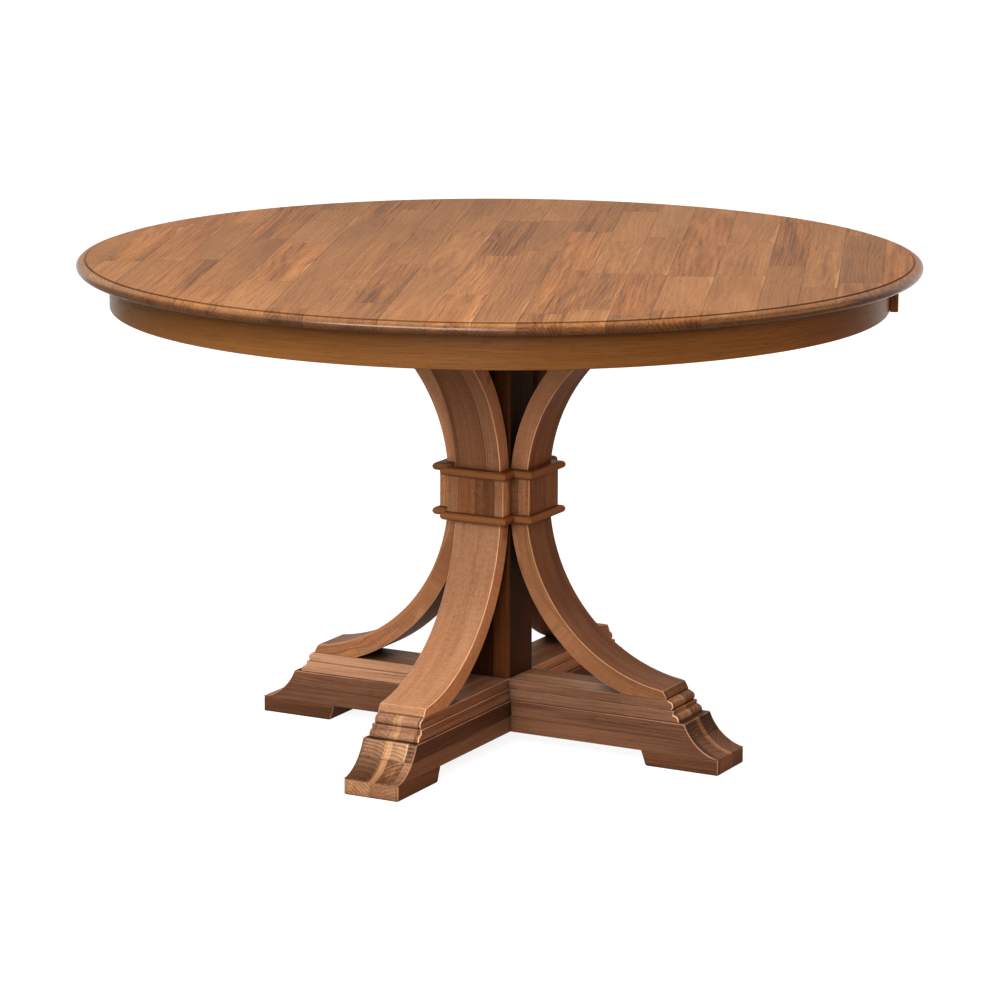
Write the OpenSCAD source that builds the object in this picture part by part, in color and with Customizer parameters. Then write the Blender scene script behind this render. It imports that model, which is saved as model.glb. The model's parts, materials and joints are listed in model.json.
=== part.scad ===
// Round pedestal dining table, in millimetres, +Z up.
// The origin is on the floor under the middle of the top. The four arms of the
// base point along +X (right), -X (left), -Y (front) and +Y (back).

/* [Table] */
// Height of the table from the floor to the top face
table_h = 762; // [620:1:950]
// Diameter of the top over its rounded rim
top_d = 1290; // [1000:5:1600]
// Thickness of the glued-up top
top_t = 18; // [15:0.5:30]
// Width of the shaped band around the rim
rim_w = 14; // [9:0.5:20]
// Height of the small step where the flat face meets the rim
rim_step = 1.5; // [0.5:0.1:3]

/* [Apron] */
// Distance from the rim in to the outer face of the apron
apron_setback = 49.5; // [30:0.5:90]
// Height of the apron below the top
apron_h = 56; // [40:1:90]
// Thickness of the bent apron hoop
apron_t = 18; // [12:0.5:25]
// Direction of the butt joint in the hoop, from the right arm towards the back
joint_angle = 24; // [23:0.5:37]
// Width of the butt joint's hairline gap
joint_gap = 0.5; // [0.2:0.1:1]
// How far the cover block stands out from the apron
cover_t = 13; // [8:0.5:20]
// Width of the cover block around the apron
cover_w = 60; // [50:1:80]
// How far the cover block hangs below the apron
cover_drop = 2; // [0:0.5:15]
// Thickness of the backing block inside the joint
backer_t = 20; // [15:0.5:30]
// Width of the backing block inside the joint
backer_w = 84; // [64:1:100]
// Width of each glue block along the apron
glue_block_w = 50; // [30:1:60]
// Depth of each glue block towards the middle
glue_block_d = 28; // [20:1:40]
// Height of each glue block
glue_block_h = 38; // [25:1:39]

/* [Rails under the top] */
// Height of the crossed rails that carry the top
rail_h = 54; // [38:1:60]
// Width of the crossed rails
rail_w = 79; // [70:1:95]
// Gap between the end of a rail and the apron
rail_gap = 2; // [1:0.5:10]
// Height of a rail at its bevelled end
rail_end_h = 34; // [20:1:38]
// Length of the bevel at a rail's end
rail_bevel = 60; // [20:1:90]
// Distance from the middle to the inner screw that holds the top
top_screw_in = 150; // [110:1:180]
// Distance from the middle to the outer screw that holds the top
top_screw_out = 440; // [380:1:470]
// Length of screw thread in the top
top_screw_bite = 11; // [8:0.5:12]

/* [Pedestal] */
// Width of the square post, the legs and the braces
member_w = 79; // [60:0.5:100]
// Thickness of a leg and a brace
member_t = 29.5; // [24:0.5:36]
// Chamfer on the corners of the post
post_chamfer = 3; // [1:0.5:6]
// Straight length of each leg and brace pair inside the collar
straight_l = 26; // [20:1:60]
// Distance from the axis to the top edge of a leg's nose
leg_reach = 304; // [250:1:360]
// Height of a leg's nose
nose_h = 13.5; // [8:0.5:20]
// Upright lip at the bottom of the nose
nose_lip = 3; // [1:0.5:6]
// Run of the sloping face of the nose
nose_run = 6; // [3:0.5:10]

/* [Collar] */
// Height of the collar boards
collar_h = 57.5; // [40:0.5:80]
// Thickness of the collar boards
collar_t = 9; // [6:0.5:14]
// Height of the nosing strips
nosing_h = 12.5; // [8:0.5:18]
// How far the nosing strips stand out from the collar boards
nosing_out = 8.5; // [6:0.5:12]

/* [Feet] */
// Distance from the axis to the end of a foot
foot_reach = 401; // [380:1:480]
// Height of the pad under each foot
pad_h = 24; // [16:0.5:35]
// Length of the pad under each foot
pad_l = 124.5; // [100:0.5:140]
// Round on the lower inner edge of a pad
pad_round = 6; // [2:0.5:10]
// Lean of the inner end of a pad
pad_lean = 5; // [2:0.5:8]
// Height of the crossed foot beams
beam_h = 50; // [40:1:65]
// Height of the lower tier of the moulded cap
tier_low_h = 17; // [14:0.5:22]
// Height of the upper tier of the moulded cap
tier_top_h = 15; // [12:0.5:20]
// Width of each ledge along the side of a foot
ledge = 3.5; // [2:0.5:6]
// Shelf from a leg's nose to the edge of the cap
cap_shelf = 4; // [2:0.5:8]
// Radius of the bead on the upper tier
bead_r = 7.5; // [5:0.5:9]
// Radius of the ovolo on the lower tier
ovolo_r = 9.5; // [6:0.5:11]
// Shelf from the lower tier to the top of the cove
cove_shelf = 11; // [6:0.5:14]
// Radius of the hollow that sweeps out to the toe
cove_r = 78; // [70:1:120]

/* [Fixings] */
// Diameter of the threaded tie rod
rod_d = 12; // [10:1:16]
// Clearance around the tie rod, on the diameter
rod_clear = 1; // [0.5:0.1:3]
// Width across the flats of the tie rod's nuts
nut_af = 19; // [17:1:24]
// Height of the tie rod's nuts
nut_h = 10; // [8:0.5:13]
// Diameter of the tie rod's washers
washer_d = 30; // [26:1:34]
// Thickness of the tie rod's washers
washer_t = 2.5; // [1.5:0.5:4]
// Diameter of the recess for a nut and washer
nut_recess_d = 36; // [35:1:40]
// Diameter of a screw's shank
screw_d = 6; // [4:0.5:7]
// Diameter of a screw's flat head
screw_head_d = 12; // [9:0.5:14]
// Height of a screw's flat head
screw_head_h = 3.5; // [2:0.5:4]
// Clearance around a screw's shank, on the diameter
screw_clear = 0.1; // [0.1:0.05:0.4]
// Diameter of the recess for a screw's head
head_recess_d = 15; // [14.5:0.5:17]
// Distance from the middle plane of an arm to a screw or dowel
pair_offset = 21; // [14:0.5:24]
// Wood left beyond the tip of a leg or brace screw
tip_cover = 7; // [4:0.5:10]
// Distance from the inner end of a leg's foot to its screws
leg_screw_in = 22; // [15:1:26]
// Distance from the inner end of a pad to its first screw
pad_screw_in = 26; // [20:1:32]
// Spacing of the two screws in a pad
pad_screw_pitch = 34; // [25:1:38]
// Diameter of the dowels between a leg and a brace
dowel_d = 10; // [8:1:12]
// Length of the dowels between a leg and a brace
dowel_l = 50; // [30:1:60]
// Clearance around a dowel, on the diameter
dowel_clear = 0.1; // [0.1:0.05:0.3]

/* [Hidden] */
$fn = 96;

// Directions of the arms and of the corners between them
RIGHT = 0;
BACK = 90;
LEFT = 180;
FRONT = 270;
ARMS = [RIGHT, BACK, LEFT, FRONT];
// Overrun that lets a cut pass cleanly through a face
cut = 1;

// Heights
top_z = table_h - top_t;
rail_z = top_z - rail_h;
rail_mid_z = top_z - rail_h / 2;
apron_z = top_z - apron_h;
beam_top_z = pad_h + beam_h;
beam_mid_z = pad_h + beam_h / 2;
tier_z = beam_top_z + tier_low_h;
cap_z = tier_z + tier_top_h;
leg_rise = (rail_z - cap_z - straight_l) / 2;
leg_arc_z = cap_z + leg_rise;
brace_arc_z = rail_z - leg_rise;
collar_z = (leg_arc_z + brace_arc_z) / 2;
collar_low_z = collar_z - collar_h / 2;
collar_top_z = collar_z + collar_h / 2;

// Radii of the top and the apron
top_r = top_d / 2;
apron_r = top_r - apron_setback;
apron_in_r = apron_r - apron_t;
rail_reach = sqrt(pow(apron_in_r, 2) - pow(rail_w / 2, 2)) - rail_gap;

// Legs and braces: an arc that leaves the collar upright and ends at the nose
half_w = member_w / 2;
member_out = half_w + member_t;
arc_run = leg_reach - member_out;
arc_drop = leg_rise - nose_h;
arc_out_r = (pow(arc_run, 2) + pow(arc_drop, 2)) / (2 * arc_run);
arc_in_r = arc_out_r + member_t;
arc_x = member_out + arc_out_r;
nose_end = leg_reach + nose_run;
foot_in = arc_x - sqrt(pow(arc_in_r, 2) - pow(leg_rise, 2));
leg_screw_x = foot_in + leg_screw_in;
leg_screw_rise = leg_rise - sqrt(pow(arc_out_r, 2) - pow(arc_x - leg_screw_x, 2)) - tip_cover;

// Feet
tier_w = member_w + 2 * ledge;
beam_w = tier_w + 2 * ledge;
cap_end = nose_end + cap_shelf;
tier_end = cap_end + bead_r + 2;
cove_in = tier_end + ovolo_r + cove_shelf;
pad_in = foot_reach - pad_l;
// Feather edge of the beam at the toe
toe_edge = 1;
cove_a = [cove_in, beam_top_z];
cove_b = [foot_reach - toe_edge, pad_h + toe_edge];
cove_chord = norm(cove_b - cove_a);
// The hollow is never so tight that it would dip below the toe
cove_turn = max(cove_r, pow(cove_chord, 2) / (2 * (cove_a[1] - cove_b[1])));
cove_side = sqrt(pow(cove_turn, 2) - pow(cove_chord / 2, 2));
cove_centre = (cove_a + cove_b) / 2
    + cove_side / cove_chord * [cove_a[1] - cove_b[1], cove_b[0] - cove_a[0]];

// Collar
collar_out = member_out + collar_t;
collar_half = half_w + collar_t;
nosing_wide = collar_t + nosing_out;

// Fixings
rod_hole_d = rod_d + rod_clear;
screw_hole_d = screw_d + screw_clear;
dowel_hole_d = dowel_d + dowel_clear;
head_seat = 12;
nut_room = nut_h + washer_t + 1.5;
rod_low_z = pad_h + 1;
rod_top_z = top_z - 2;
pad_screw_tip_z = pad_h + 26;
glue_block_angles = [15, 45, 75, 105, 135, 165, 195, 225, 255, 285, 315, 345];
joint_screw_z = apron_z + apron_h / 2;
joint_screw_side = cover_w / 4;
joint_screw_tip = apron_r + cover_t - 4;
joint_screw_head = apron_in_r - backer_t;

// Points of an arc, from one angle to another
function arc_points(centre, rx, ry, from, to, steps) =
    [for (i = [0:steps]) let (a = from + (to - from) * i / steps)
        centre + [rx * cos(a), ry * sin(a)]];

// Turns a shape made for the right arm to the arm at an angle
module on_arm(angle) rotate([0, 0, angle]) children();

// A round bar lying along Y, as wide as asked, with its middle at x, z
module cross_bar(x, z, r, w) {
    translate([x, w / 2, z]) rotate([90, 0, 0]) cylinder(r = r, h = w);
}

// A block from x0 to x1, w wide about the middle plane of the arm, from z0 to z1
module arm_block(x0, x1, w, z0, z1) {
    translate([x0, -w / 2, z0]) cube([x1 - x0, w, z1 - z0]);
}

// An upright bore at x, y
module upright_bore(x, y, d, z0, z1) {
    translate([x, y, z0]) cylinder(d = d, h = z1 - z0);
}

// An upright screw from its head at z0 to its tip at z1, upside down if z1 is lower
module screw(x, y, z0, z1) {
    translate([x, y, z0]) rotate([z1 > z0 ? 0 : 180, 0, 0]) {
        cylinder(d = screw_head_d, h = screw_head_h);
        translate([0, 0, screw_head_h]) cylinder(d = screw_d, h = abs(z1 - z0) - screw_head_h);
    }
}

// The wedge of plan, 90 degrees wide, that a mitred piece on the right arm keeps
module mitre_wedge(reach, z0, z1) {
    translate([0, 0, z0]) linear_extrude(z1 - z0) polygon([[0, 0], [reach, -reach], [reach, reach]]);
}

// Top: a disc with a stepped, rounded rim
module tabletop() {
    low_r = rim_w * 0.57;
    half_z = (top_t - rim_step) / 2;
    mid_z = top_z + half_z;
    color("peru") difference() {
        rotate_extrude() polygon(concat(
            [[0, top_z]],
            arc_points([top_r - low_r, mid_z], low_r, half_z, -90, 0, 8),
            arc_points([top_r - rim_w, mid_z], rim_w, half_z, 8, 90, 10),
            [[top_r - rim_w, table_h], [0, table_h]]));
        for (a = ARMS, x = [top_screw_in, top_screw_out]) on_arm(a)
            upright_bore(x, 0, screw_hole_d, top_z - cut, top_z + top_screw_bite + 0.5);
    }
}

// Apron: one strip bent to a hoop that closes with a butt joint
module apron_hoop() {
    color("saddlebrown") difference() {
        translate([0, 0, apron_z]) cylinder(r = apron_r, h = apron_h);
        translate([0, 0, apron_z - cut]) cylinder(r = apron_in_r, h = apron_h + 2 * cut);
        rotate([0, 0, joint_angle]) translate([apron_in_r - cut, -joint_gap / 2, apron_z - cut])
            cube([apron_t + 2 * cut, joint_gap, apron_h + 2 * cut]);
        joint_screw_bores();
    }
}

// A curved block at the joint, between two radii
module joint_sector(r0, r1, w, z0, z1) {
    rotate([0, 0, joint_angle]) intersection() {
        difference() {
            translate([0, 0, z0]) cylinder(r = r1, h = z1 - z0);
            translate([0, 0, z0 - cut]) cylinder(r = r0, h = z1 - z0 + 2 * cut);
        }
        arm_block(r0 / 2, r1 + cut, w, z0, z1);
    }
}

module joint_screw_bores() {
    for (s = [-1, 1]) rotate([0, 0, joint_angle]) translate([0, s * joint_screw_side, joint_screw_z])
        rotate([0, 90, 0]) {
            cylinder(d = screw_hole_d, h = joint_screw_tip + 0.5);
            cylinder(d = screw_head_d + 1, h = joint_screw_head + screw_head_h + 1);
        }
}

// Block outside the hoop that covers its joint
module apron_cover_block() {
    color("sienna") difference() {
        joint_sector(apron_r, apron_r + cover_t, cover_w, apron_z - cover_drop, top_z);
        joint_screw_bores();
    }
}

// Block inside the hoop that backs its joint
module apron_backing_block() {
    color("burlywood") difference() {
        joint_sector(apron_in_r - backer_t, apron_in_r, backer_w, apron_z, top_z);
        joint_screw_bores();
    }
}

// Screws from the backing block through the hoop into the cover block
module apron_joint_screws() {
    color("silver") for (s = [-1, 1]) rotate([0, 0, joint_angle])
        translate([joint_screw_head + 1, s * joint_screw_side, joint_screw_z]) rotate([0, 90, 0])
            screw(0, 0, 0, joint_screw_tip - joint_screw_head - 1);
}

// Blocks glued into the corner between the hoop and the top
module apron_glue_blocks() {
    color("burlywood") for (a = glue_block_angles) rotate([0, 0, a]) intersection() {
        arm_block(apron_in_r - glue_block_d, apron_in_r + cut, glue_block_w, top_z - glue_block_h, top_z);
        translate([0, 0, apron_z]) cylinder(r = apron_in_r, h = apron_h);
    }
}

// One rail under the top, along X, with bevelled ends
module rail_blank() {
    difference() {
        arm_block(-rail_reach, rail_reach, rail_w, rail_z, top_z);
        for (a = [RIGHT, LEFT]) on_arm(a) rotate([90, 0, 0]) translate([0, 0, -rail_w])
            linear_extrude(2 * rail_w) polygon([
                [rail_reach - rail_bevel, rail_z], [rail_reach - rail_bevel, rail_z - cut],
                [rail_reach + cut, rail_z - cut], [rail_reach + cut, top_z - rail_end_h],
                [rail_reach, top_z - rail_end_h]]);
        upright_bore(0, 0, rod_hole_d, rail_z - cut, top_z + cut);
        upright_bore(0, 0, nut_recess_d, top_z - nut_room, top_z + cut);
        for (a = [RIGHT, LEFT]) on_arm(a) {
            for (x = [top_screw_in, top_screw_out]) {
                upright_bore(x, 0, screw_hole_d, rail_z - cut, top_z + cut);
                upright_bore(x, 0, head_recess_d, rail_z - cut, rail_z + head_seat);
            }
            for (s = [-1, 1]) {
                upright_bore(leg_screw_x, s * pair_offset, screw_hole_d, rail_z - cut, top_z + cut);
                upright_bore(leg_screw_x, s * pair_offset, head_recess_d, top_z - head_seat, top_z + cut);
            }
        }
    }
}

// Rail along X, notched from above at the crossing
module rail_across() {
    color("burlywood") difference() {
        rail_blank();
        arm_block(-rail_w / 2, rail_w / 2, rail_w + cut, rail_mid_z, top_z + cut);
    }
}

// Rail along Y, notched from below at the crossing
module rail_along() {
    color("tan") rotate([0, 0, BACK]) difference() {
        rail_blank();
        arm_block(-rail_w / 2, rail_w / 2, rail_w + cut, rail_z - cut, rail_mid_z);
    }
}

// Screws up through the rails into the top
module top_screws() {
    color("silver") for (a = ARMS, x = [top_screw_in, top_screw_out]) on_arm(a)
        screw(x, 0, rail_z + head_seat - screw_head_h, top_z + top_screw_bite);
}

// Post with chamfered corners, bored for the tie rod
module post() {
    c = post_chamfer;
    color("saddlebrown") difference() {
        translate([0, 0, cap_z]) linear_extrude(rail_z - cap_z) polygon([
            [half_w, -half_w + c], [half_w, half_w - c], [half_w - c, half_w], [-half_w + c, half_w],
            [-half_w, half_w - c], [-half_w, -half_w + c], [-half_w + c, -half_w], [half_w - c, -half_w]]);
        upright_bore(0, 0, rod_hole_d, cap_z - cut, rail_z + cut);
    }
}

// Threaded rod that ties the feet, the post and the rails together
module tie_rod() {
    color("silver") upright_bore(0, 0, rod_d, rod_low_z, rod_top_z);
}

// A ring on the tie rod, round or six-sided
module rod_ring(d, z, h, sides) {
    difference() {
        translate([0, 0, z]) cylinder(d = d, h = h, $fn = sides);
        upright_bore(0, 0, rod_d + screw_clear, z - cut, z + h + cut);
    }
}

// Nuts at the two ends of the tie rod
module tie_rod_nuts() {
    corner_d = nut_af / cos(30);
    color("silver") {
        rod_ring(corner_d, pad_h + 1.5, nut_h, 6);
        rod_ring(corner_d, top_z - nut_room + washer_t, nut_h, 6);
    }
}

// Washers under the two nuts
module tie_rod_washers() {
    color("gainsboro") {
        rod_ring(washer_d, pad_h + nut_room - washer_t, washer_t, $fn);
        rod_ring(washer_d, top_z - nut_room, washer_t, $fn);
    }
}

// One curved leg on the right arm: a straight part in the collar, an arc, and the nose
module leg_blank() {
    difference() {
        union() {
            arm_block(half_w, member_out, member_w, leg_arc_z, collar_z);
            intersection() {
                difference() {
                    cross_bar(arc_x, leg_arc_z, arc_in_r, member_w);
                    cross_bar(arc_x, leg_arc_z, arc_out_r, member_w + 2 * cut);
                }
                rotate([90, 0, 0]) translate([0, 0, -member_w / 2]) linear_extrude(member_w)
                    polygon([[half_w - cut, leg_arc_z], [half_w - cut, cap_z], [nose_end - 0.5, cap_z],
                        [nose_end, cap_z + nose_lip], [leg_reach, cap_z + nose_h], [leg_reach, leg_arc_z]]);
            }
            rotate([90, 0, 0]) translate([0, 0, -member_w / 2]) linear_extrude(member_w)
                polygon([[leg_reach - nose_run, cap_z], [nose_end - 0.5, cap_z], [nose_end, cap_z + nose_lip],
                    [leg_reach, cap_z + nose_h], [leg_reach - nose_run, cap_z + nose_h]]);
        }
        // Planed flat where the collar and its nosing lie against it
        arm_block(member_out, collar_out, member_w + 2 * cut, collar_low_z - nosing_h, collar_z + cut);
        for (s = [-1, 1]) {
            upright_bore(leg_screw_x, s * pair_offset, screw_hole_d, cap_z - cut,
                cap_z + leg_screw_rise + 0.5);
            upright_bore((half_w + member_out) / 2, s * pair_offset, dowel_hole_d,
                collar_z - dowel_l / 2 - 0.5, collar_z + cut);
        }
    }
}

// A leg on the arm at an angle
module leg(angle, tone) {
    color(tone) on_arm(angle) leg_blank();
}

// A brace is the same curve turned over: it meets the leg at the middle of the collar
module brace(angle, tone) {
    color(tone) on_arm(angle) translate([0, 0, 2 * collar_z]) mirror([0, 0, 1]) leg_blank();
}

// Dowels that join each leg to the brace above it
module leg_dowels() {
    color("wheat") for (a = ARMS, s = [-1, 1]) on_arm(a)
        upright_bore((half_w + member_out) / 2, s * pair_offset, dowel_d,
            collar_z - dowel_l / 2, collar_z + dowel_l / 2);
}

// Collar board across the face of one arm
module collar_board(angle) {
    color("sienna") on_arm(angle)
        arm_block(member_out, collar_out, 2 * collar_half, collar_low_z, collar_top_z);
}

// Collar corner: two returns that meet in the corner between two arms
module collar_corner(angle) {
    color("chocolate") rotate([0, 0, angle]) translate([0, 0, collar_low_z]) linear_extrude(collar_h)
        polygon([[half_w, half_w], [member_out, half_w], [member_out, collar_half],
            [collar_half, collar_half], [collar_half, member_out], [half_w, member_out]]);
}

// Nosing bar along the face of the right arm, round at its outer edge
module nosing_bar(inner, w, z) {
    r = nosing_h / 2;
    arm_block(inner, inner + nosing_wide - r, w, z, z + nosing_h);
    cross_bar(inner + nosing_wide - r, z + r, r, w);
}

// Strips across the faces of the four arms, mitred at both ends
module nosing_fronts(z) {
    for (a = ARMS) on_arm(a) intersection() {
        nosing_bar(member_out, 2 * (half_w + nosing_wide), z);
        translate([0, 0, z]) linear_extrude(nosing_h) polygon([
            [member_out, -half_w], [member_out + nosing_wide, -half_w - nosing_wide],
            [member_out + nosing_wide, half_w + nosing_wide], [member_out, half_w]]);
    }
}

// Strips along the sides of the four arms, mitred into each other at the inner corners
module nosing_returns(z) {
    wide = nosing_wide;
    for (a = ARMS, side = [0, 1]) on_arm(a) mirror([0, side, 0]) intersection() {
        rotate([0, 0, 90]) nosing_bar(half_w, 2 * (member_out + wide), z);
        translate([0, 0, z]) linear_extrude(nosing_h) polygon([
            [half_w, half_w], [member_out, half_w],
            [member_out + wide, half_w + wide], [half_w + wide, half_w + wide]]);
    }
}

// One foot beam along X: its ends sweep down to the toes in a hollow
module beam_blank() {
    difference() {
        arm_block(-foot_reach, foot_reach, beam_w, pad_h, beam_top_z);
        for (a = [RIGHT, LEFT]) on_arm(a) {
            cross_bar(cove_centre[0], cove_centre[1], cove_turn, beam_w + 2 * cut);
            for (s = [-1, 1]) {
                upright_bore(leg_screw_x, s * pair_offset, screw_hole_d, pad_h - cut, beam_top_z + cut);
                upright_bore(leg_screw_x, s * pair_offset, head_recess_d, pad_h - cut, pad_h + head_seat);
            }
            for (i = [0, 1])
                upright_bore(pad_in + pad_screw_in + i * pad_screw_pitch, 0, screw_hole_d,
                    pad_h - cut, pad_screw_tip_z + 0.5);
        }
        upright_bore(0, 0, rod_hole_d, pad_h - cut, beam_top_z + cut);
        upright_bore(0, 0, nut_recess_d, pad_h - cut, pad_h + nut_room);
    }
}

// Beam along X, notched from above at the crossing
module foot_beam_across() {
    color("saddlebrown") difference() {
        beam_blank();
        arm_block(-beam_w / 2, beam_w / 2, beam_w + cut, beam_mid_z, beam_top_z + cut);
    }
}

// Beam along Y, notched from below at the crossing
module foot_beam_along() {
    color("brown") rotate([0, 0, BACK]) difference() {
        beam_blank();
        arm_block(-beam_w / 2, beam_w / 2, beam_w + cut, pad_h - cut, beam_mid_z);
    }
}

// Moulded cap on one arm: two tiers with a bead and an ovolo, mitred at the middle
module foot_cap(angle) {
    color("peru") on_arm(angle) difference() {
        union() {
            intersection() {
                union() {
                    arm_block(0, tier_end, tier_w, beam_top_z, tier_z);
                    cross_bar(tier_end, beam_top_z + 1.5, ovolo_r, tier_w);
                }
                mitre_wedge(foot_reach, beam_top_z, tier_z);
            }
            intersection() {
                union() {
                    arm_block(0, cap_end, member_w, tier_z, cap_z);
                    cross_bar(cap_end, cap_z - 1.5 - bead_r, bead_r, member_w);
                }
                mitre_wedge(foot_reach, tier_z, cap_z);
            }
        }
        upright_bore(0, 0, rod_hole_d, beam_top_z - cut, cap_z + cut);
        for (s = [-1, 1])
            upright_bore(leg_screw_x, s * pair_offset, screw_hole_d, beam_top_z - cut, cap_z + cut);
    }
}

// Pad under one foot, with a leaning, rounded inner end
module foot_pad(angle) {
    color("saddlebrown") on_arm(angle) difference() {
        rotate([90, 0, 0]) translate([0, 0, -beam_w / 2]) linear_extrude(beam_w) polygon(concat(
            [[pad_in - pad_lean, pad_h]],
            arc_points([pad_in + pad_round, pad_round], pad_round, pad_round, 180, 270, 6),
            [[foot_reach, 0], [foot_reach, pad_h]]));
        for (i = [0, 1]) {
            upright_bore(pad_in + pad_screw_in + i * pad_screw_pitch, 0, screw_hole_d, -cut, pad_h + cut);
            upright_bore(pad_in + pad_screw_in + i * pad_screw_pitch, 0, head_recess_d, -cut, pad_h / 3);
        }
    }
}

// Screws down through the rails into the braces
module brace_screws() {
    color("silver") for (a = ARMS, s = [-1, 1]) on_arm(a)
        screw(leg_screw_x, s * pair_offset, top_z - head_seat + screw_head_h, rail_z - leg_screw_rise);
}

// Screws up through the beams and caps into the legs
module leg_screws() {
    color("silver") for (a = ARMS, s = [-1, 1]) on_arm(a)
        screw(leg_screw_x, s * pair_offset, pad_h + head_seat - screw_head_h, cap_z + leg_screw_rise);
}

// Screws up through the pads into the beams
module pad_screws() {
    color("silver") for (a = ARMS, i = [0, 1]) on_arm(a)
        screw(pad_in + pad_screw_in + i * pad_screw_pitch, 0, pad_h / 3 - screw_head_h, pad_screw_tip_z);
}

tabletop();
apron_hoop();
apron_cover_block();
apron_backing_block();
apron_glue_blocks();
apron_joint_screws();
rail_across();
rail_along();
top_screws();
post();
tie_rod();
tie_rod_nuts();
tie_rod_washers();
brace(FRONT, "sienna");  // brace_front
brace(BACK, "sienna");  // brace_back
brace(RIGHT, "sienna");  // brace_right
brace(LEFT, "sienna");  // brace_left
leg(FRONT, "peru");  // leg_front
leg(BACK, "peru");  // leg_back
leg(RIGHT, "peru");  // leg_right
leg(LEFT, "peru");  // leg_left
leg_dowels();
collar_board(FRONT);  // collar_board_front
collar_board(BACK);  // collar_board_back
collar_board(RIGHT);  // collar_board_right
collar_board(LEFT);  // collar_board_left
collar_corner(FRONT);  // collar_corner_front_right
collar_corner(RIGHT);  // collar_corner_back_right
collar_corner(BACK);  // collar_corner_back_left
collar_corner(LEFT);  // collar_corner_front_left
color("tan") nosing_fronts(collar_top_z);  // upper_nosing_fronts
color("peru") nosing_returns(collar_top_z);  // upper_nosing_returns
color("tan") nosing_fronts(collar_low_z - nosing_h);  // lower_nosing_fronts
color("peru") nosing_returns(collar_low_z - nosing_h);  // lower_nosing_returns
foot_beam_across();
foot_beam_along();
foot_cap(FRONT);  // foot_cap_front
foot_cap(BACK);  // foot_cap_back
foot_cap(RIGHT);  // foot_cap_right
foot_cap(LEFT);  // foot_cap_left
foot_pad(FRONT);  // foot_pad_front
foot_pad(BACK);  // foot_pad_back
foot_pad(RIGHT);  // foot_pad_right
foot_pad(LEFT);  // foot_pad_left
brace_screws();
leg_screws();
pad_screws();
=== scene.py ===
"""Round pedestal dining table: eased wooden surfaces, oiled wood, soft light and the camera."""
import json
import math

import bpy
import numpy as np
from mathutils import Matrix, Vector


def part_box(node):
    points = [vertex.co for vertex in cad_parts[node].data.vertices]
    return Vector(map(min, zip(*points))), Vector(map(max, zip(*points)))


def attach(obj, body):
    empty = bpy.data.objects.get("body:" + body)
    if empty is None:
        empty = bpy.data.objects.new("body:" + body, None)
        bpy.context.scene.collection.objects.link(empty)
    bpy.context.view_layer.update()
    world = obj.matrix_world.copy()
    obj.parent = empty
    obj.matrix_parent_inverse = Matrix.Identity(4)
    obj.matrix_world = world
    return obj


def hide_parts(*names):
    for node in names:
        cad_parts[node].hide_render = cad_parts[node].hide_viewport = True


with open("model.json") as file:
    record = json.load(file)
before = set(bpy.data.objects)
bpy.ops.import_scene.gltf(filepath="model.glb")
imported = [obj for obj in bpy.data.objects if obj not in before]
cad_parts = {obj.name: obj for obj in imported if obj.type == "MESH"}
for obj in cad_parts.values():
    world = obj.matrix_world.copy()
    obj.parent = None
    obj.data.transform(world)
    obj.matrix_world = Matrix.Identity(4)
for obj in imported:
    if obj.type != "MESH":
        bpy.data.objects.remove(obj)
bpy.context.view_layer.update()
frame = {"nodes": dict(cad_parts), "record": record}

scene = bpy.context.scene

# ---------------------------------------------------------------- sizes, in metres
top_low, top_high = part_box("tabletop")
hoop_low, hoop_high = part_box("apron_hoop")
leg_low, leg_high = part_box("leg_right")
board_low, board_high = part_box("collar_board_right")
nosing_low, nosing_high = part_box("lower_nosing_fronts")
beam_low, beam_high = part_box("foot_beam_across")
cap_low, cap_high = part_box("foot_cap_right")
pad_low, pad_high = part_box("foot_pad_right")

TOP_R = top_high.y
HOOP_R = hoop_high.y
HOOP_T = 0.018
JOINT = math.radians(24)
COVER_T, COVER_W, COVER_DROP = 0.013, 0.060, 0.002
HALF = leg_low.x
OUTER = board_low.x
CAP_Z, COLLAR_Z = leg_low.z, leg_high.z
NOSE_END = leg_high.x
NOSE_RUN, NOSE_H, NOSE_LIP = 0.006, 0.0135, 0.003
LEG_REACH = NOSE_END - NOSE_RUN
STRAIGHT = 0.013
ARC_Z = COLLAR_Z - STRAIGHT
ARC_RUN, ARC_DROP = LEG_REACH - OUTER, ARC_Z - CAP_Z - NOSE_H
ARC_R = (ARC_RUN ** 2 + ARC_DROP ** 2) / (2 * ARC_RUN)
ARC_X = OUTER + ARC_R
ARC_INNER = ARC_R + OUTER - HALF
FOOT_IN = ARC_X - math.sqrt(ARC_INNER ** 2 - (ARC_Z - CAP_Z) ** 2)
TIER_Z = cap_low.z + 0.017
CAP_END = NOSE_END + 0.004
TIER_END = CAP_END + 0.0095
ARMS = {"right": 0, "back": 1, "left": 2, "front": 3}
COVE_R = 0.078
TOP_STEPS, HOOP_STEPS = 384, 360
# how strongly rounded arrises are paled, as rubbed edges and as a painted highlight
ARRIS_WEAR_AND_HIGHLIGHT, NOSING_WEAR_AND_HIGHLIGHT = 0.8, 0.5


# ---------------------------------------------------------------- shapes
def arc(centre, radius, start, stop, steps):
    """Points of an arc in the profile's plane: centre + radius * (cos a, sin a), a from start to stop degrees."""
    a = np.radians(np.linspace(start, stop, steps))
    return np.column_stack([centre[0] + radius * np.cos(a), centre[1] + radius * np.sin(a)])


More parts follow.
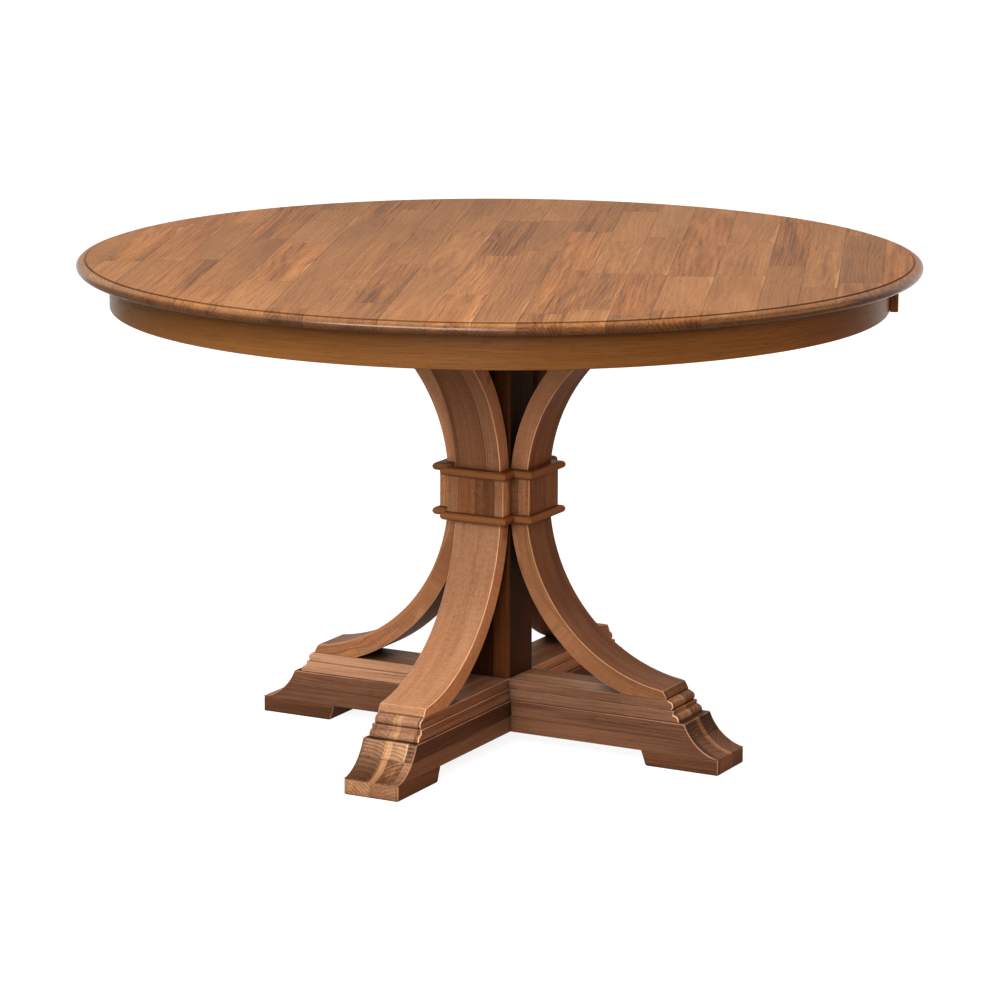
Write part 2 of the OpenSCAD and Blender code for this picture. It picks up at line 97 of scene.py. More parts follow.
def eased(points, radii, steps=5):
    """Rounds the flagged corners of a closed profile. Each corner becomes an arc tangent to its two sides, which
    starts radius * tan(turn / 2) before the corner. Returns the points, the outward normals, how far each point may
    be drawn inwards, and its paling as a rubbed edge and painted highlight: the sine of its way through the corner."""
    points, radii = np.asarray(points, float), np.asarray(radii, float)
    before = points - np.roll(points, 1, axis=0)
    after = np.roll(points, -1, axis=0) - points
    before /= np.linalg.norm(before, axis=1)[:, None]
    after /= np.linalg.norm(after, axis=1)[:, None]
    turn = np.arctan2(before[:, 0] * after[:, 1] - before[:, 1] * after[:, 0], (before * after).sum(axis=1))
    made, normals, room, wear_and_highlight = [], [], [], []
    for p, b, a, t, r in zip(points, before, after, turn, radii):
        if r <= 0:
            n = b + a
            made.append(p[None])
            normals.append(np.array([[n[1], -n[0]]]) / np.linalg.norm(n))
            room.append([1.0])
            wear_and_highlight.append([0.0])
            continue
        share = np.linspace(0, 1, steps) * t
        first = np.array([b[1], -b[0]])
        turned = np.column_stack([first[0] * np.cos(share) - first[1] * np.sin(share),
                                  first[0] * np.sin(share) + first[1] * np.cos(share)])
        side = 1 if t > 0 else -1
        centre = p - b * r * abs(math.tan(t / 2)) - first * r * side
        made.append(centre + turned * r * side)
        normals.append(turned)
        room.append([r * 0.96 if t > 0 else 1.0] * steps)
        wear_and_highlight.append(np.sin(np.linspace(0, math.pi, steps)) * (t > 0))
    return [np.concatenate(part) for part in (made, normals, room, wear_and_highlight)]


def joined(rings):
    """Faces of a tube of rings: a square between each pair of neighbours, with a flat face on each end."""
    count, n = rings.shape[:2]
    i, j = np.meshgrid(np.arange(count - 1), np.arange(n), indexing="ij")
    k, m = i + 1, (j + 1) % n
    faces = np.stack([i * n + j, i * n + m, k * n + m, k * n + j], axis=-1).reshape(-1, 4).tolist()
    return faces + [list(range(n))[::-1], list(range((count - 1) * n, count * n))]


def carried(profile, width, ease, mitred=False, steps=5):
    """A profile in X and Z carried along Y, with its long edges eased: towards each side the profile is drawn in
    along its normals by ease * (1 - cos a) while Y gains ease * sin a, for a from 0 to 90 degrees. A mitred piece's
    inner end is moved out to X = |Y|."""
    points, normals, room, wear_and_highlight = profile
    a = np.linspace(0, math.pi / 2, steps)
    y = width / 2 - ease + ease * np.sin(a)
    y = np.concatenate([-y[::-1], [0.0] if mitred else [], y])
    draw = np.concatenate([(1 - np.cos(a))[::-1], [0.0] if mitred else [], 1 - np.cos(a)])
    shift = np.minimum(ease, room)[None, :, None] * draw[:, None, None] * normals[None]
    flat = points[None] - shift
    rings = np.stack([flat[..., 0], np.broadcast_to(y[:, None], flat.shape[:2]), flat[..., 1]], axis=-1)
    if mitred:
        inner = points[:, 0] < 1e-6
        rings[:, inner, 0] = np.abs(y)[:, None]
    # paling along the rounded arrises: rubbed edges, partly a painted highlight
    worn = np.sin(2 * np.concatenate([a[::-1], [0.0] if mitred else [], a]))
    worn = np.maximum(worn[:, None], wear_and_highlight[None] * ARRIS_WEAR_AND_HIGHLIGHT * (1 - draw)[:, None])
    end = normals[None, :, 0] ** 2 * (1 - draw)[:, None]
    return rings.reshape(-1, 3), joined(rings), np.column_stack([worn.ravel(), end.ravel()])


def marks(worn):
    """How much each point is paled as a rubbed edge and painted highlight, and no end grain."""
    return np.column_stack([worn, worn * 0.0])


def turned(profile, steps, start, stop):
    """A closed profile in radius and Z carried round the Z axis, from one angle to another."""
    points, worn = profile[0], profile[3] * ARRIS_WEAR_AND_HIGHLIGHT
    a = np.linspace(start, stop, steps)[:, None]
    rings = np.stack([points[:, 0] * np.cos(a), points[:, 0] * np.sin(a),
                      np.broadcast_to(points[:, 1], (steps, len(points)))], axis=-1)
    return rings.reshape(-1, 3), joined(rings), marks(np.tile(worn, steps))


def upright(shape):
    """Turns a shape made along Y to stand along Z: (x, y, z) becomes (x, -z, y)."""
    p, faces, worn = shape
    return np.column_stack([p[:, 0], -p[:, 2], p[:, 1]]), faces, worn


def bent(shape, radius):
    """Wraps a shape's Y round the Z axis: the angle is y / radius, and x stays the distance from the axis."""
    p, faces, worn = shape
    a = p[:, 1] / radius
    return np.column_stack([p[:, 0] * np.cos(a), p[:, 0] * np.sin(a), p[:, 2]]), faces, worn


def mitred_bar(path, out, section):
    """A moulding carried along a path in plan. A point of its section, at distance d and height h, lies at
    path + d * out, where out is each corner's mitre direction, so neighbouring bars share the mitre's plane."""
    path, out = np.asarray(path, float), np.asarray(out, float)
    points, _, _, wear_and_highlight = section
    plan = path[:, None] + points[None, :, 0, None] * out[:, None]
    rings = np.concatenate([plan, np.broadcast_to(points[None, :, 1, None], plan.shape[:2] + (1,))], axis=-1)
    return rings.reshape(-1, 3), joined(rings), marks(np.tile(wear_and_highlight * NOSING_WEAR_AND_HIGHLIGHT, len(path)))


def quarter_turns(points, turns):
    """Points turned by a number of quarter turns about Z."""
    c, s = ((1, 0), (0, 1), (-1, 0), (0, -1))[turns % 4]
    x, y, z = points.T
    return np.column_stack([x * c - y * s, x * s + y * c, z])


def piece(name, shapes, finish, nodes, grain=None, turns=0, seed=0.0, sharp=32, ends=1):
    """Puts one or more shapes into one mesh. Each point keeps where it lies in the wood: along, across and into
    the grain, in metres, how much it is paled as a rubbed edge and painted highlight (below 0: darkened by painted
    shade), and how squarely it faces along the grain, which is less than 0 where the end is of pale timber and on
    the top's rim is partly painted shade."""
    count, points, faces, worn = 0, [], [], []
    for p, f, w in shapes:
        points.append(p)
        worn.append(w)
        faces += [[k + count for k in face] for face in f]
        count += len(p)
    points, worn = np.concatenate(points), np.concatenate(worn)
    wood = points if grain is None else grain(points)
    placed = quarter_turns(points, turns)
    mesh = bpy.data.meshes.new(name)
    mesh.from_pydata(placed.tolist(), [], faces)
    for label, kind, values in (("grain", "FLOAT_VECTOR", wood), ("worn", "FLOAT", worn[:, 0]),
                                ("end", "FLOAT", worn[:, 1] * ends), ("seed", "FLOAT", np.full(count, seed))):
        layer = mesh.attributes.new(label, kind, "POINT")
        layer.data.foreach_set("vector" if kind == "FLOAT_VECTOR" else "value", np.asarray(values, float).ravel())
    mesh.validate()
    corners = placed[[face[0] for face in faces]]
    normals = np.empty(len(mesh.polygons) * 3)
    areas = np.empty(len(mesh.polygons))
    mesh.polygons.foreach_get("normal", normals)
    mesh.polygons.foreach_get("area", areas)
    if (corners * normals.reshape(-1, 3)).sum(axis=1) @ areas < 0:
        mesh.flip_normals()
    mesh.polygons.foreach_set("use_smooth", np.ones(len(mesh.polygons), bool))
    mesh.set_sharp_from_angle(angle=math.radians(sharp))
    mesh.materials.append(finish)
    made = bpy.data.objects.new(name, mesh)
    scene.collection.objects.link(made)
    weighted = made.modifiers.new("even_shading", "WEIGHTED_NORMAL")
    weighted.keep_sharp = True
    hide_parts(*nodes)
    next(s["material_slot"] for s in frame["record"]["subparts"] if s["node"] == nodes[0])
    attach(made, "root")
    return made


# ---------------------------------------------------------------- shader maths
class Value:
    """A socket in a material. Arithmetic with numbers or other values adds Math nodes."""

    def __init__(self, graph, socket):
        self.graph, self.socket = graph, socket

    def math(self, operation, first, second=0.0):
        return self.graph.node("ShaderNodeMath", {"operation": operation}, {0: first, 1: second})

    def __add__(self, other): return self.math("ADD", self, other)
    def __sub__(self, other): return self.math("SUBTRACT", self, other)
    def __mul__(self, other): return self.math("MULTIPLY", self, other)
    def __truediv__(self, other): return self.math("DIVIDE", self, other)
    def __radd__(self, other): return self.math("ADD", other, self)
    def __rsub__(self, other): return self.math("SUBTRACT", other, self)
    def __rmul__(self, other): return self.math("MULTIPLY", other, self)
    def __rtruediv__(self, other): return self.math("DIVIDE", other, self)
    def floor(self): return self.math("FLOOR", self)
    def part(self): return self.math("FRACT", self)
    def wave(self): return self.math("SINE", self) * 0.5 + 0.5
    def low(self, other): return self.math("MINIMUM", self, other)
    def high(self, other): return self.math("MAXIMUM", self, other)
    def size(self): return self.math("ABSOLUTE", self)


class Graph:
    """One material's nodes."""

    def __init__(self, name):
        self.material = bpy.data.materials.new(name)
        self.material.use_nodes = True
        self.tree = self.material.node_tree
        self.tree.nodes.clear()
        self.shader = self.tree.nodes.new("ShaderNodeBsdfPrincipled")
        output = self.tree.nodes.new("ShaderNodeOutputMaterial")
        self.tree.links.new(self.shader.outputs[0], output.inputs[0])

    def set(self, sockets, inputs):
        for key, value in inputs.items():
            if isinstance(value, Value):
                self.tree.links.new(value.socket, sockets[key])
            else:
                sockets[key].default_value = value

    def node(self, kind, settings=None, inputs=None, output=0):
        """Adds a node: its settings first, a ramp's stops among them, then the values or links of its sockets."""
        made = self.tree.nodes.new(kind)
        for key, value in (settings or {}).items():
            if key == "stops":
                ramp = made.color_ramp
                while len(ramp.elements) < len(value):
                    ramp.elements.new(0.5)
                for element, (place, tint) in zip(ramp.elements, value):
                    element.position, element.color = place, (*tint, 1.0)
            else:
                setattr(made, key, value)
        self.set(made.inputs, inputs or {})
        return Value(self, made.outputs[output])

    def attribute(self, name, output):
        return self.node("ShaderNodeAttribute", {"attribute_name": name}, None, output)

    def vector(self, operation, a, b=(0, 0, 0), output=0):
        return self.node("ShaderNodeVectorMath", {"operation": operation}, {0: a, 1: b}, output)

    def dot(self, a, b):
        return self.vector("DOT_PRODUCT", a, b, 1)

    def point(self, x, y, z):
        return self.node("ShaderNodeCombineXYZ", None, {0: x, 1: y, 2: z})

    def noise(self, place, stretch, detail=2.0, rough=0.5, bend=0.0):
        """Noise whose features are 1 / stretch metres long along each of the wood's three directions."""
        place = self.vector("MULTIPLY", place, stretch)
        return self.node("ShaderNodeTexNoise", None, {"Vector": place, "Scale": 1.0, "Detail": detail,
                                                      "Roughness": rough, "Distortion": bend})

    def chance(self, x, y, z, output=0):
        """A number, or with output 1 a colour, that is random from one whole-number cell to the next."""
        return self.node("ShaderNodeTexWhiteNoise", None, {"Vector": self.point(x, y, z)}, output)

    def rise(self, value, low, high, to_low=0.0, to_high=1.0):
        return self.node("ShaderNodeMapRange", {"interpolation_type": "SMOOTHSTEP"},
                         {0: value, 1: low, 2: high, 3: to_low, 4: to_high})

    def ramp(self, value, stops):
        return self.node("ShaderNodeValToRGB", {"stops": stops}, {0: value})

    def blend(self, share, a, b, how="MIX"):
        return self.node("ShaderNodeMix", {"data_type": "RGBA", "blend_type": how}, {0: share, 6: a, 7: b}, 2)


def tint(red, green, blue):
    """A colour given in display values, 0 to 255, as linear light."""
    c = np.array([red, green, blue]) / 255
    return tuple(np.where(c <= 0.04045, c / 12.92, ((c + 0.055) / 1.055) ** 2.4).tolist())


def wood(name, dark, mid, light, stave=None, length=None, sap=0.25, ripple=0.0, rings=1.0, spread=1.0,
         gloss=0.42, wear_and_highlight=0.6, shift=0.0, layer=None, layer_at=0.0, core=0.0, place=None, ends=0.5, blotch=0.42,
         odd=0.0, polish=0.0, sheen=0.07):
    """Oiled wood, glued up from staves. The grain runs along the first of the wood's directions. Each stave has a
    pith of its own, and its growth rings are the distance from it, so long faces show lines and ends show rings.
    Over them lie broad clouds, streaks, dark veins, fine fibres and pores, pale sapwood at some staves' edges, a
    dark hairline at each joint, and paler rubbed edges that are partly a painted highlight. Ends are darker, or
    paler where the piece's are pale; on the top's rim the darkening is partly painted shade. A painted shadow lines
    the top's step, and painted shade darkens crevices. Polish is a coat on the rim alone, and odd darkens about one
    stave in seven."""
    g = Graph(name)
    spot = place(g) if place else g.attribute("grain", 1)
    seed = g.attribute("seed", 2)
    worn, end = g.attribute("worn", 2), g.attribute("end", 2)
    along, across, into = [g.dot(spot, axis) for axis in ((1, 0, 0), (0, 1, 0), (0, 0, 1))]

    # staves: which one a point lies in, and how near its joints are
    if stave:
        pace = across / stave + shift
        pace = pace + g.noise(g.point(pace * 0.37, seed, 0.0), (1, 1, 1), 0.0) * 0.9
        row, within = pace.floor(), pace.part()
    else:
        row, within = seed * 0.0, across * 0.0 + 0.5
    joint = within.low(1.0 - within) * (stave or 1.0)
    if length:
        run = along / length * (g.chance(row, seed, 3.0) * 0.5 + 0.8) + g.chance(row, seed, 5.0) * 9.0
        column, butt = run.floor(), run.part()
        joint = joint.low(butt.low(1.0 - butt) * length)
    else:
        column = seed * 0.0
    if layer:
        deep = (into - layer_at) / layer
        storey = deep.floor()
        joint = joint.low(deep.part().low(1.0 - deep.part()) * layer)
    else:
        storey = seed * 0.0
    cell = (row + seed * 17.0, column + storey * 3.0, seed)
    luck = g.chance(*cell)
    hue = g.chance(cell[0], cell[1], seed + 11.0)
    jump = g.chance(cell[0], cell[1], seed + 23.0, 1)
    own = g.vector("ADD", spot, g.vector("MULTIPLY", jump, (7.0, 5.0, 3.0)))

    # growth rings round the stave's pith
    scatter = g.node("ShaderNodeSeparateColor", None, {0: jump}, 0)
    sway = g.noise(own, (1.6, 9, 9), 2.0)
    near = (within - 0.5) * (stave or 0.09) + (scatter - 0.5) * 0.10 + (sway - 0.5) * 0.030
    below = into + 0.012 + luck * 0.045 + (g.noise(own, (2.2, 3, 3), 1.0) - 0.5) * 0.036
    radius = g.vector("LENGTH", g.point(near, below, 0.0), output=1)
    ring = (radius * 1200.0 + g.noise(own, (5, 60, 60), 2.0) * 6.0).wave()
    streak = g.noise(own, (2.4, 62, 62), 4.0, 0.62, 0.35)
    fibre = g.noise(own, (12, 520, 520), 3.0, 0.6)
    cloud = g.noise(own, (2.2, 7, 7), 2.0)
    pores = g.rise(g.noise(own, (46, 1500, 1500), 1.0), 0.60, 0.74)
    vein = g.rise(g.noise(own, (3.4, 210, 210), 3.0, 0.62, 0.3), 0.53, 0.70)

    figure = 0.45 + g.rise(hue, 0.35, 0.9) * 0.75
    end_rings = 0.09 if polish else 0.22
    tone = (0.5 + (streak - 0.5) * figure * 0.85 * spread
            + (ring - 0.5) * (figure * 0.08 + end.size() * end_rings) * rings
            + (cloud - 0.5) * 0.45 * spread + (fibre - 0.5) * 0.3 + (luck - 0.5) * blotch * spread
            - vein * figure * 0.18 * spread - g.rise(luck, 0.84, 0.87) * odd)
    if ripple:
        wash = g.noise(g.point(g.dot(own, (1, 0.7, 0.4)), g.dot(own, (-0.6, 1, 0.3)), 0.0),
                       (330, 90, 1), 3.0, 0.6, 0.6)
        tone = tone + (wash - 0.5) * ripple
    colour = g.ramp(tone, [(0.16, dark), (0.5, mid), (0.84, light)])

    # stave to stave: some lean to orange, some to grey-brown
    colour = g.blend(g.rise(hue, 0.62, 1.0) * 0.45 * spread, colour, (1.0, 0.80, 0.62, 1), "MULTIPLY")
    colour = g.blend(g.rise(hue, 0.0, 0.35, 1.0, 0.0) * 0.38 * spread, colour, (0.86, 0.93, 1.0, 1), "MULTIPLY")

    # pale sapwood along some edges of staves
    if sap:
        reach = (g.noise(g.point(along * 3.2, luck * 9.0, seed), (1, 1, 1), 2.0) - 0.52) * 0.9
        reach = reach * g.rise(luck, 0.45, 0.6) + (fibre - 0.5) * 0.02
        pale = g.rise(reach - within, 0.0, 0.04) * sap
        colour = g.blend(pale, colour, (*tint(176, 132, 92), 1))

    # dark or pale ends, and a thin pale core lamina in the middle of the thick pieces; on the top's rim the darker
    # end is partly end grain and partly painted shade
    colour = g.blend(end.high(0.0) * ends, colour, (0.22, 0.18, 0.15, 1), "MULTIPLY")
    colour = g.blend((0.0 - end).high(0.0), colour, (2.1, 2.5, 2.7, 1), "MULTIPLY")
    if core:
        lamina = g.rise((across + (streak - 0.5) * 0.004).size(), core / 2, core / 2 + 0.001, 1.0, 0.0)
        lamina = lamina * g.rise(cloud + (luck - 0.5) * 0.2, 0.35, 0.6)
        colour = g.blend(lamina * (0.55 - end.high(0.0) * 0.4), colour, (*tint(184, 140, 98), 1))

    # joints, pores, paler rubbed edges that are partly a painted highlight, a painted shadow in the top's step, and
    # painted shade in crevices and between parts
    line = g.rise(joint, 0.0001, 0.0009, 1.0, 0.0) * 0.5
    colour = g.blend(line, colour, (*[c * 0.35 for c in dark], 1))
    colour = g.blend(pores * 0.35, colour, (*[c * 0.4 for c in dark], 1))
    # paler rounded arrises: rubbed edges, partly a painted highlight
    rub_and_highlight = g.rise(worn * 0.62 + g.noise(own, (26, 26, 26), 3.0, 0.6) * 0.62, 0.62, 0.86)
    colour = g.blend(rub_and_highlight * wear_and_highlight, colour, (*[min(1.0, c * 1.35 + 0.02) for c in light], 1))
    # painted shadow: values below 0, only in the top's step, paint a dark groove line
    colour = g.blend(g.rise(0.0 - worn, 0.1, 0.9) * 0.75, colour, (*[c * 0.22 for c in dark], 1))

    # painted shade: an occlusion node darkens the colour in crevices and between parts
    painted_crevice_shade = g.node("ShaderNodeAmbientOcclusion", {"samples": 6}, {"Distance": 0.026}, 1)
    colour = g.blend(g.rise(painted_crevice_shade, 0.15, 0.85, 0.72, 0.0), colour, (*[c * 0.16 for c in dark], 1))

    rough = gloss + (streak - 0.5) * 0.10 + pores * 0.18 + (1.0 - ring) * 0.03
    height = fibre * 0.35 + streak * 0.5 - pores * 0.9 - line * 1.6 + ring * 0.12 - vein * 0.5
    if ripple:
        height = height + wash * 0.9
    normal = g.node("ShaderNodeBump", None, {"Strength": 0.5, "Distance": 0.0006, "Height": height})
    g.set(g.shader.inputs, {"Base Color": colour, "Roughness": rough, "Normal": normal,
                            "Specular IOR Level": sheen, "IOR": 1.45})
    if polish:
        g.set(g.shader.inputs, {"Coat Weight": end.size() * polish, "Coat Roughness": 0.22})
    return g.material


def metal(name, shade, rough):
    """Zinc-plated steel: a faint crystalline mottle in its colour and roughness, and fine turned scratches."""
    g = Graph(name)
    spot = g.node("ShaderNodeTexCoord", None, None, "Object")
    mottle = g.noise(spot, (260, 260, 260), 3.0, 0.6)
    scratch = g.noise(spot, (180, 180, 2400), 2.0)
    colour = g.blend(mottle, (*[c * 0.72 for c in shade], 1), (*shade, 1))
    normal = g.node("ShaderNodeBump", None, {"Strength": 0.2, "Distance": 0.0002, "Height": scratch})
    g.set(g.shader.inputs, {"Base Color": colour, "Roughness": rough + (mottle - 0.5) * 0.2, "Normal": normal,
                            "Metallic": 1.0})
    return g.material


def object_grain(direction, height):
    """Where a point of an unturned piece lies in the wood, with the grain along a direction in plan, in degrees."""
    c, s = math.cos(math.radians(direction)), math.sin(math.radians(direction))

    def place(g):
        spot = g.node("ShaderNodeTexCoord", None, None, "Object")
        return g.point(g.dot(spot, (c, s, 0)), g.dot(spot, (-s, c, 0)), g.dot(spot, (0, 0, 1)) - height)
    return place


# ---------------------------------------------------------------- finishes
# the top's rim darkens through its ends setting: partly end grain, partly painted shade
top_wood = wood("oiled_top", tint(82, 50, 27), tint(140, 96, 57), tint(172, 125, 80), stave=0.062, length=0.40,
                sap=0.6, rings=0.9, spread=0.9, blotch=0.20, odd=0.13, ends=0.9, polish=0.8, gloss=0.46,
                place=object_grain(112, top_high.z), wear_and_highlight=0.15)
apron_wood = wood("apron_strip", tint(58, 34, 13), tint(93, 59, 29), tint(116, 78, 43), sap=0.0, rings=0.4,
                  spread=0.75, gloss=0.30, wear_and_highlight=0.4, sheen=0.14)
block_wood = wood("apron_block", tint(84, 46, 20), tint(124, 76, 40), tint(150, 104, 64), sap=0.0)
post_wood = wood("post", tint(24, 10, 3), tint(56, 28, 11), tint(92, 55, 28), stave=0.034, sap=0.0, gloss=0.55,
                 wear_and_highlight=0.9, spread=0.8)
brace_wood = wood("brace", tint(100, 64, 42), tint(150, 105, 75), tint(184, 139, 108), stave=0.052, shift=0.25,
                  ripple=0.28, sap=0.2, rings=0.4, gloss=0.45, spread=0.75)
leg_wood = wood("leg", tint(72, 45, 29), tint(120, 82, 56), tint(158, 114, 82), ripple=0.26, sap=0.2,
                rings=0.5, gloss=0.45, spread=0.85)
pale_leg_wood = wood("pale_leg", tint(98, 64, 42), tint(151, 107, 77), tint(188, 144, 110), ripple=0.42,
                     sap=0.2, rings=0.4, gloss=0.45, spread=0.75)
collar_wood = wood("collar_board", tint(96, 58, 36), tint(142, 96, 66), tint(172, 126, 92), stave=0.034,
                   shift=0.45, ripple=0.6, sap=0.0, rings=0.2, spread=1.1, wear_and_highlight=0.8)
nosing_wood = wood("nosing", tint(86, 52, 30), tint(126, 82, 50), tint(160, 112, 76), sap=0.0, rings=0.3,
                   gloss=0.38, spread=0.6, wear_and_highlight=0.5)
BEAM = {"stave": 0.040, "shift": 0.5, "layer": 0.025, "layer_at": 0.024, "sap": 0.2, "spread": 0.85,
        "core": 0.012, "wear_and_highlight": 0.7}
beam_wood = wood("foot_beam", tint(56, 36, 26), tint(104, 71, 52), tint(146, 107, 80), ends=0.95, **BEAM)
dark_beam_wood = wood("dark_foot_beam", tint(46, 29, 20), tint(90, 60, 42), tint(130, 94, 69), **BEAM)
cap_wood = wood("foot_cap", tint(84, 57, 43), tint(134, 98, 75), tint(170, 130, 100), stave=0.038, shift=0.5,
                sap=0.2, spread=0.85, core=0.013, wear_and_highlight=0.8)
pad_wood = wood("foot_pad", tint(62, 40, 26), tint(100, 66, 46), tint(136, 98, 70), stave=0.046, shift=0.5,
                sap=0.2, gloss=0.44, spread=0.85, wear_and_highlight=0.7, ends=0.7)
plain_wood = wood("hidden_timber", tint(100, 64, 38), tint(140, 98, 64), tint(168, 128, 90), sap=0.0,
                  gloss=0.55, spread=0.6, place=object_grain(0, 0.70))
steel = metal("zinc_plate", (0.62, 0.62, 0.60), 0.34)


# ---------------------------------------------------------------- pieces
def make_top():
    """The top: a flat disc, a small step down, and a rim that rounds over to the underside. The rim is two quarter
    ellipses that meet at its widest point."""
    z0, z1 = top_low.z, top_high.z
    step, band, under = 0.0015, 0.014, 0.008
    half = (z1 - step - z0) / 2
    a = np.radians(np.linspace(-90, 0, 12))
    b = np.radians(np.linspace(7.5, 75, 10))
    low = np.column_stack([TOP_R - under + under * np.cos(a), z0 + half + half * np.sin(a)])
    high = np.column_stack([TOP_R - band + band * np.cos(b), z0 + half + half * np.sin(b)])
    inner = np.array([[TOP_R - band + 0.0022, z1 - step - 0.0001], [TOP_R - band + 0.0004, z1 - step - 0.0003],
                      [TOP_R - band - 0.0006, z1 - 0.0005], [TOP_R - band - 0.0011, z1],
                      [TOP_R - band - 0.0030, z1], [TOP_R - band - 0.0060, z1]])
    points = np.concatenate([low, high, inner])
    # painted shadow: the step's face and the flat just inside it are marked below 0, which paints a dark groove
    # line
    worn = np.concatenate([np.zeros(len(points) - 6), [0.0, -1.0, -0.9, -0.5, 0.1, 0.0]])
    # the rim is marked as end grain, more towards its underside: its darkening is partly end grain and partly
    # painted shade on the rim's lower faces
    end = np.concatenate([np.ones(len(points) - 6), np.zeros(6)])
    end *= np.clip((z1 - 0.001 - points[:, 1]) / 0.006, 0.25, 1)
    rings_at = np.linspace(0, 2 * math.pi, TOP_STEPS, endpoint=False)[:, None]
    rings = np.stack([points[:, 0] * np.cos(rings_at), points[:, 0] * np.sin(rings_at),
                      np.broadcast_to(points[:, 1], (TOP_STEPS, len(points)))], axis=-1)
    n = len(points)
    i, j = np.meshgrid(np.arange(TOP_STEPS), np.arange(n - 1), indexing="ij")
    k = (i + 1) % TOP_STEPS
    faces = np.stack([i * n + j, k * n + j, k * n + j + 1, i * n + j + 1], axis=-1).reshape(-1, 4).tolist()
    faces += [list(range(n - 1, TOP_STEPS * n, n)), list(range(0, TOP_STEPS * n, n))[::-1]]
    painted_shade_and_end_grain = np.column_stack([np.tile(worn, TOP_STEPS), np.tile(end, TOP_STEPS)])
    piece("top", [(rings.reshape(-1, 3), faces, painted_shade_and_end_grain)], top_wood, ["tabletop"], sharp=40)


def block_profile(x0, x1, z0, z1, r):
    """A rectangle with each corner rounded by r."""
    return eased([[x0, z0], [x1, z0], [x1, z1], [x0, z1]], [r] * 4)


def hoop_grain(p):
    """Along the hoop is the angle times its radius, across is the height, into is the distance from its face."""
    return np.column_stack([np.arctan2(p[:, 1], p[:, 0]) * HOOP_R, p[:, 2], HOOP_R - np.hypot(p[:, 0], p[:, 1])])


def turned_by(shape, angle):
    """A shape turned about Z by an angle."""
    p, faces, worn = shape
    c, s = math.cos(angle), math.sin(angle)
    return np.column_stack([p[:, 0] * c - p[:, 1] * s, p[:, 0] * s + p[:, 1] * c, p[:, 2]]), faces, worn


def make_apron():
    """The hoop with its butt joint, and the cover block that bridges the joint."""
    gap = 0.00025 / HOOP_R
    section = block_profile(HOOP_R - HOOP_T, HOOP_R, hoop_low.z, hoop_high.z, 0.0016)
    hoop = turned(section, HOOP_STEPS, JOINT + gap, JOINT + 2 * math.pi - gap)
    piece("apron", [hoop], apron_wood, ["apron_hoop"], hoop_grain, seed=0.3)
    section = block_profile(HOOP_R, HOOP_R + COVER_T, hoop_low.z - COVER_DROP, hoop_high.z, 0.0015)
    block = turned_by(bent(carried(section, COVER_W, 0.0015), HOOP_R), JOINT)
    piece("apron_block", [block], block_wood, ["apron_cover_block"],
          lambda p: hoop_grain(p)[:, [1, 0, 2]], seed=0.7)


def make_post():
    """The post's section is a square with its corners cut at 45 degrees, carried upwards."""
    c, h = 0.003, HALF
    brace_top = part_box("brace_right")[1].z
    section = eased([[h, -h + c], [h, h - c], [h - c, h], [-h + c, h], [-h, h - c], [-h, -h + c], [-h + c, -h],
                     [h - c, -h]], [0.001] * 8)
    points, faces, worn = upright(carried(section, brace_top - CAP_Z, 0.0003))
    points[:, 2] += (brace_top + CAP_Z) / 2
    piece("square_post", [(points, faces, worn)], post_wood, ["post"], lambda p: p[:, [2, 0, 1]] + [0, 0.01, 0.05],
          seed=0.15)


def leg_profile():
    """A leg from its side: an outer arc and an inner arc about one centre, a straight part in the collar, and a
    nose with a rounded top edge."""
    start = math.degrees(math.atan2(-ARC_DROP, LEG_REACH - ARC_X))
    outer = arc((ARC_X, ARC_Z), ARC_R, start, -180, 40)
    outer[outer[:, 1] > nosing_low.z, 0] = OUTER
    foot = math.degrees(math.atan2(CAP_Z - ARC_Z, FOOT_IN - ARC_X))
    inner = arc((ARC_X, ARC_Z), ARC_INNER, -180, foot, 36)
    points = [[NOSE_END - 0.0005, CAP_Z], [NOSE_END, CAP_Z + NOSE_LIP], *outer, [OUTER, COLLAR_Z],
              [HALF, COLLAR_Z], *inner]
    radii = [0.0003, 0.0014, 0.0034, *[0] * 39, 0.0003, 0.0003, *[0] * 35, 0.0003]
    points = np.asarray(points)
    # the nose's top edge needs straight sides to be rounded between, so the arc's next point gives way
    keep = np.ones(len(points), bool)
    keep[3] = False
    return eased(points[keep], np.asarray(radii)[keep])


def leg_grain(p):
    """The grain follows the leg: along is the angle about the arcs' centre times the mean radius, and into is the
    distance from the outer arc."""
    x, z = ARC_X - p[:, 0], ARC_Z - p[:, 2]
    angle = np.arctan2(np.maximum(z, 0), x)
    along = np.where(z < 0, z, angle * (ARC_R + ARC_INNER) / 2)
    into = np.where(z < 0, OUTER - p[:, 0], np.hypot(x, z) - ARC_R)
    return np.column_stack([along, p[:, 1], into])


def make_legs_and_braces():
    """Each brace is a leg turned over about the collar's middle height. The front and back legs are paler."""
    profile = leg_profile()
    points, faces, worn = carried(profile, 2 * HALF, 0.0019)
    over = points * [1, 1, -1] + [0, 0, 2 * COLLAR_Z]
    flip = lambda p: leg_grain(p * [1, 1, -1] + [0, 0, 2 * COLLAR_Z])
    for arm, turns in ARMS.items():
        timber = pale_leg_wood if turns % 2 else leg_wood
        piece(arm + "_leg", [(points, faces, worn)], timber, ["leg_" + arm], leg_grain, turns,
              0.11 + turns * 0.23)
        piece(arm + "_brace", [(over, faces, worn)], brace_wood, ["brace_" + arm], flip, turns,
              0.05 + turns * 0.21)


